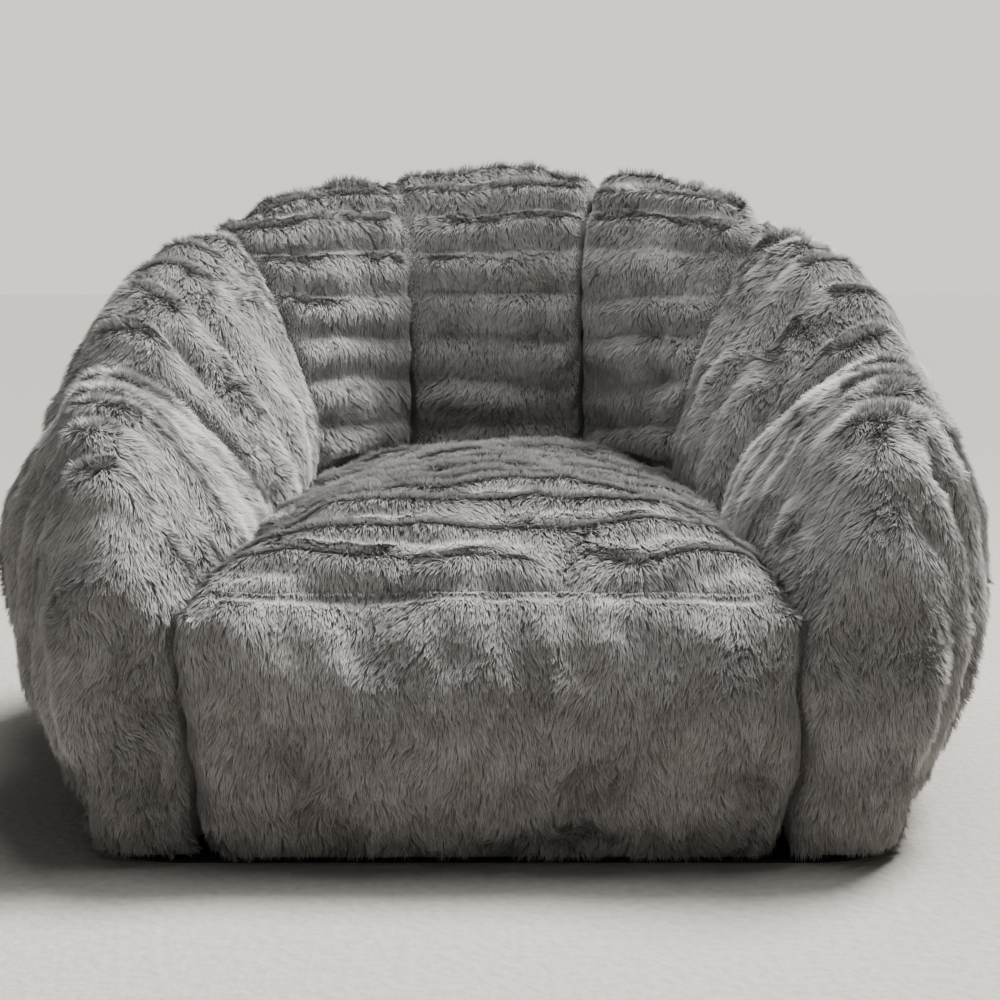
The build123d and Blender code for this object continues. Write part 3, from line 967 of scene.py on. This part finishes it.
# %% The covers take their places
STANDS_FOR = {
    "back_centre": ("divider_back_left", "divider_back_right"),
    "shoulder_left": ("divider_shoulder_left",),
    "shoulder_right": ("divider_shoulder_right",),
    "arm_left": ("divider_arm_left",),
    "arm_right": ("divider_arm_right",),
}
for name, cover in covers.items():
    cover.data.materials.clear()
    cover.data.materials.append(backing_painted_shade_finish)
    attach(cover, "chair")
    if name in LOBES:
        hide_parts("cover_" + name, "liner_" + name, "fill_" + name, *STANDS_FOR.get(name, ()))
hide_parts("seat_top_cover", "liner_seat", "fill_seat")
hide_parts("seat_front_cover")

# %% [markdown]
# ## The zip under the rear hem
#
# The lining bags go in through a long zip at the back, which is a guess. Its coil is one nylon spring on each
# tape, which shows as a row of small rounded teeth. A texture can't give them an edge, so each
# tooth is a tiny bevelled block, set round the ring by a loop. A row of thread on each tape's
# outer edge holds it to the plush.

# %% Teeth and thread
TOOTH_PITCH = 0.0021
TOOTH_SIZE = (0.0014, 0.0026, 0.0022)  # along the zip, across it, and thick
TOOTH_OFF_CENTRE = 0.00205
CHAIN_SINK = 0.001
STITCH_PITCH = 0.0042
STITCH_SIZE = (0.0015, 0.00035, 0.00035)
STITCH_OFF_CENTRE = 0.0068
TAPE_FACE = 0.0005


ZIP_REACH = teeth_reach() + CHAIN_SINK * ZIP_OUT[0]


def hem_place(angle, across, out):
    """The matrix of a place on the hem: x along the zip, y up the hem, z outwards."""
    level = Vector((np.sin(angle), np.cos(angle), 0.0))
    up = level * ZIP_UP[0] + Vector((0.0, 0.0, ZIP_UP[1]))
    outward = level * ZIP_OUT[0] + Vector((0.0, 0.0, ZIP_OUT[1]))
    along = up.cross(outward)
    middle = Vector((RING_CENTRE[0], RING_CENTRE[1], ZIP_HEIGHT)) + level * ZIP_REACH
    place = Matrix((along, up, outward)).transposed().to_4x4()
    place.translation = middle + up * across + outward * out
    return place


def row_of(name, pitch, across, out, shape, finish):
    """A row of small solids along the zip, from one end of the teeth to the other."""
    row = bmesh.new()
    count = int(2 * ZIP_TURN * ZIP_REACH / pitch)
    for number in range(count):
        angle = -ZIP_TURN + (number + 0.5) * 2 * ZIP_TURN / count
        shape(row, hem_place(angle, across, out))
    if shape is tooth:
        bmesh.ops.bevel(
            row, geom=row.edges[:], offset=0.00045, segments=1, affect="EDGES", profile=0.5, material=-1
        )
    mesh = bpy.data.meshes.new(name)
    row.to_mesh(mesh)
    row.free()
    mesh.materials.append(finish)
    mesh.polygons.foreach_set("use_smooth", [True] * len(mesh.polygons))
    piece = new_object(name, mesh)
    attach(piece, "chair")
    print(f"{name}: {count} in a row, {len(mesh.polygons)} faces")
    return piece


def tooth(row, place):
    bmesh.ops.create_cube(row, size=1.0, matrix=place @ Matrix.Diagonal((*TOOTH_SIZE, 1.0)))


def stitch(row, place):
    bmesh.ops.create_uvsphere(
        row, u_segments=6, v_segments=4, radius=1.0, matrix=place @ Matrix.Diagonal((*STITCH_SIZE, 1.0))
    )


# %% [markdown]
# ## Finishes of the small parts
#
# The tape is a narrow weave, the coil is dull nylon, the slider and its pull are dark nickel, and
# the base is a black felted cloth. They share two groups: a weave of two crossed sets of threads,
# and the fine fibres that the plush backing uses.

# %% A woven finish
def weave_group():
    tree, given, out = shader_group(
        "crossed_threads", [("Vector", "NodeSocketVector"), ("Pitch", "NodeSocketFloat")],
        [("Mask", "NodeSocketFloat")],
    )
    turns = add_node(tree, "ShaderNodeMath", {0: 2 * pi, 1: given["Pitch"]}, operation="DIVIDE")
    parts = add_node(tree, "ShaderNodeSeparateXYZ", {0: given["Vector"]})
    waves = []
    for one, other, sign in (("X", "Y", 1.0), ("Z", "Y", -1.0)):
        mixed = add_node(
            tree, "ShaderNodeMath", {0: parts.outputs[other], 1: sign, 2: parts.outputs[one]},
            operation="MULTIPLY_ADD",
        )
        phase = add_node(
            tree, "ShaderNodeMath", {0: mixed.outputs[0], 1: turns.outputs[0]}, operation="MULTIPLY"
        )
        waves.append(add_node(tree, "ShaderNodeMath", {0: phase.outputs[0]}, operation="SINE").outputs[0])
    crossed = add_node(tree, "ShaderNodeMath", {0: waves[0], 1: waves[1]}, operation="MULTIPLY")
    level = add_node(
        tree, "ShaderNodeMath", {0: crossed.outputs[0], 1: 0.5, 2: 0.5}, operation="MULTIPLY_ADD"
    )
    tree.links.new(level.outputs[0], out.inputs["Mask"])
    return tree


crossed_threads = weave_group()


def woven(name, pitch, dark, light, **plain):
    made, tree, shader = new_material(name, **plain)
    spot = add_node(tree, "ShaderNodeTexCoord").outputs["Object"]
    threads = add_node(tree, "ShaderNodeGroup", node_tree=crossed_threads)
    tree.links.new(spot, threads.inputs["Vector"])
    threads.inputs["Pitch"].default_value = pitch
    colour = ramp(tree, threads.outputs["Mask"], [(0.1, dark), (0.9, light)])
    tree.links.new(colour, shader.inputs["Base Color"])
    bump = add_node(tree, "ShaderNodeBump", {"Height": threads.outputs["Mask"], "Distance": 0.0003})
    tree.links.new(bump.outputs[0], shader.inputs["Normal"])
    return made


def felted(name, size, dark, light, depth, **plain):
    """A finish of fine fibres with no thread direction, or of moulded grain when the depth is small."""
    made, tree, shader = new_material(name, **plain)
    spot = add_node(tree, "ShaderNodeTexCoord").outputs["Object"]
    fibres = add_node(tree, "ShaderNodeGroup", node_tree=fine_fibres)
    tree.links.new(spot, fibres.inputs["Vector"])
    fibres.inputs["Size"].default_value = size
    fibres.inputs["Stretch"].default_value = (1.0, 1.0, 1.0)
    colour = ramp(tree, fibres.outputs["Mask"], [(0.1, dark), (0.45, light)])
    tree.links.new(colour, shader.inputs["Base Color"])
    rough = add_node(
        tree, "ShaderNodeMapRange",
        {"Value": fibres.outputs["Mask"], "To Min": shader.inputs["Roughness"].default_value - 0.08,
         "To Max": shader.inputs["Roughness"].default_value + 0.08},
    )
    tree.links.new(rough.outputs[0], shader.inputs["Roughness"])
    bump = add_node(tree, "ShaderNodeBump", {"Height": fibres.outputs["Height"], "Distance": depth})
    tree.links.new(bump.outputs[0], shader.inputs["Normal"])
    return made


tape_finish = woven("zip_tape_weave", 0.0011, (0.055, 0.055, 0.058), (0.17, 0.17, 0.175), Roughness=0.85)
thread_finish = woven("zip_thread", 0.0005, (0.10, 0.10, 0.10), (0.26, 0.26, 0.26), Roughness=0.7)
coil_finish = felted("zip_nylon", 0.0006, (0.085, 0.085, 0.09), (0.19, 0.19, 0.195), 0.00005, Roughness=0.42)
nickel_finish = felted(
    "zip_nickel", 0.0012, (0.26, 0.26, 0.27), (0.52, 0.52, 0.53), 0.00004, Roughness=0.30, Metallic=1.0
)
base_finish = felted(
    "base_felt", 0.0016, (0.008, 0.008, 0.009), (0.035, 0.035, 0.037), 0.0006, Roughness=0.92
)

# %% The zip and the base get their finishes
FINISHES = {
    "base_cloth": base_finish, "zip_tape_upper": tape_finish, "zip_tape_lower": tape_finish,
    "zip_stop_left": nickel_finish, "zip_stop_right": nickel_finish,
    "zip_slider": nickel_finish, "zip_pull": nickel_finish,
}
for name, finish in FINISHES.items():
    for place in frame["nodes"][name].material_slots:
        place.material = finish

for name, side in (("upper", 1), ("lower", -1)):
    coil = row_of(
        "zip_coil_" + name, TOOTH_PITCH, side * TOOTH_OFF_CENTRE, -CHAIN_SINK, tooth, coil_finish
    )
    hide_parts("zip_teeth_" + name)
    row_of(
        "zip_stitches_" + name, STITCH_PITCH, side * STITCH_OFF_CENTRE, -TAPE_FACE, stitch,
        thread_finish,
    )

# %% [markdown]
# ## Floor and light
#
# A soft sun from high on the right and a little behind shows the ribs by their shadows on a pale floor. A
# wide lamp overhead stands for the light of the ceiling, and a weak one at the front left opens the shade.
# Lamps and plush tones were set together, so neither is a measured value.

# %% Floor and light
def floor_material():
    made, tree, shader = new_material("pale_floor", Roughness=0.9)
    spot = add_node(tree, "ShaderNodeTexCoord").outputs["Object"]
    weave = add_node(tree, "ShaderNodeTexNoise", {"Vector": spot, "Scale": 90.0, "Detail": 5.0})
    colour = ramp(tree, weave.outputs[0], [(0.3, (0.36, 0.34, 0.315)), (0.7, (0.43, 0.41, 0.385))])
    tree.links.new(colour, shader.inputs["Base Color"])
    bump = add_node(tree, "ShaderNodeBump", {"Height": weave.outputs[0], "Distance": 0.003})
    tree.links.new(bump.outputs[0], shader.inputs["Normal"])
    return made


ground = bmesh.new()
bmesh.ops.create_grid(ground, x_segments=1, y_segments=1, size=40.0)
ground_mesh = bpy.data.meshes.new("floor")
ground.to_mesh(ground_mesh)
ground.free()
ground_mesh.materials.append(floor_material())
floor = new_object("floor", ground_mesh)


def soft_lamp(name, place, aim, size, power, colour):
    light = bpy.data.lights.new(name, "AREA")
    light.size = size
    light.energy = power
    light.color = colour
    lamp = bpy.data.objects.new(name, light)
    lamp.location = place
    lamp.rotation_euler = (Vector(aim) - Vector(place)).to_track_quat("-Z", "Y").to_euler()
    scene.collection.objects.link(lamp)


chair_middle = (0.0, -0.05, 0.35)
window_light = bpy.data.lights.new("window", "SUN")
window_light.energy = 9.8
window_light.angle = radians(18)
window_light.color = (1.0, 0.975, 0.94)
window = bpy.data.objects.new("window", window_light)
SUN_WAY = (-1.35, -1.2, -2.6)
window.rotation_euler = Vector(SUN_WAY).to_track_quat("-Z", "Y").to_euler()
scene.collection.objects.link(window)
soft_lamp("fill", (-1.6, -2.6, 1.3), chair_middle, 2.2, 2.0, (0.96, 0.98, 1.0))
soft_lamp("sky", (0.35, 0.15, 2.6), chair_middle, 1.6, 68.0, (1.0, 1.0, 1.0))

room_light = bpy.data.worlds.new("room")
room_light.use_nodes = True
sky = room_light.node_tree.nodes["Background"]
sky.inputs["Color"].default_value = (0.90, 0.875, 0.84, 1.0)
seen = add_node(
    room_light.node_tree, "ShaderNodeMapRange",
    {"Value": room_light.node_tree.nodes.new("ShaderNodeLightPath").outputs["Is Camera Ray"],
     "To Min": 0.14, "To Max": 1.3},
)
room_light.node_tree.links.new(seen.outputs[0], sky.inputs["Strength"])
scene.world = room_light

# %% [markdown]
# ## The end
#
# The helper strand is removed and the scene brought up to date. The finished chair has to stay
# inside the frame's box, apart from a little that fabric may stand proud.

# %% The end
bpy.data.objects.remove(strand)
bpy.context.view_layer.update()
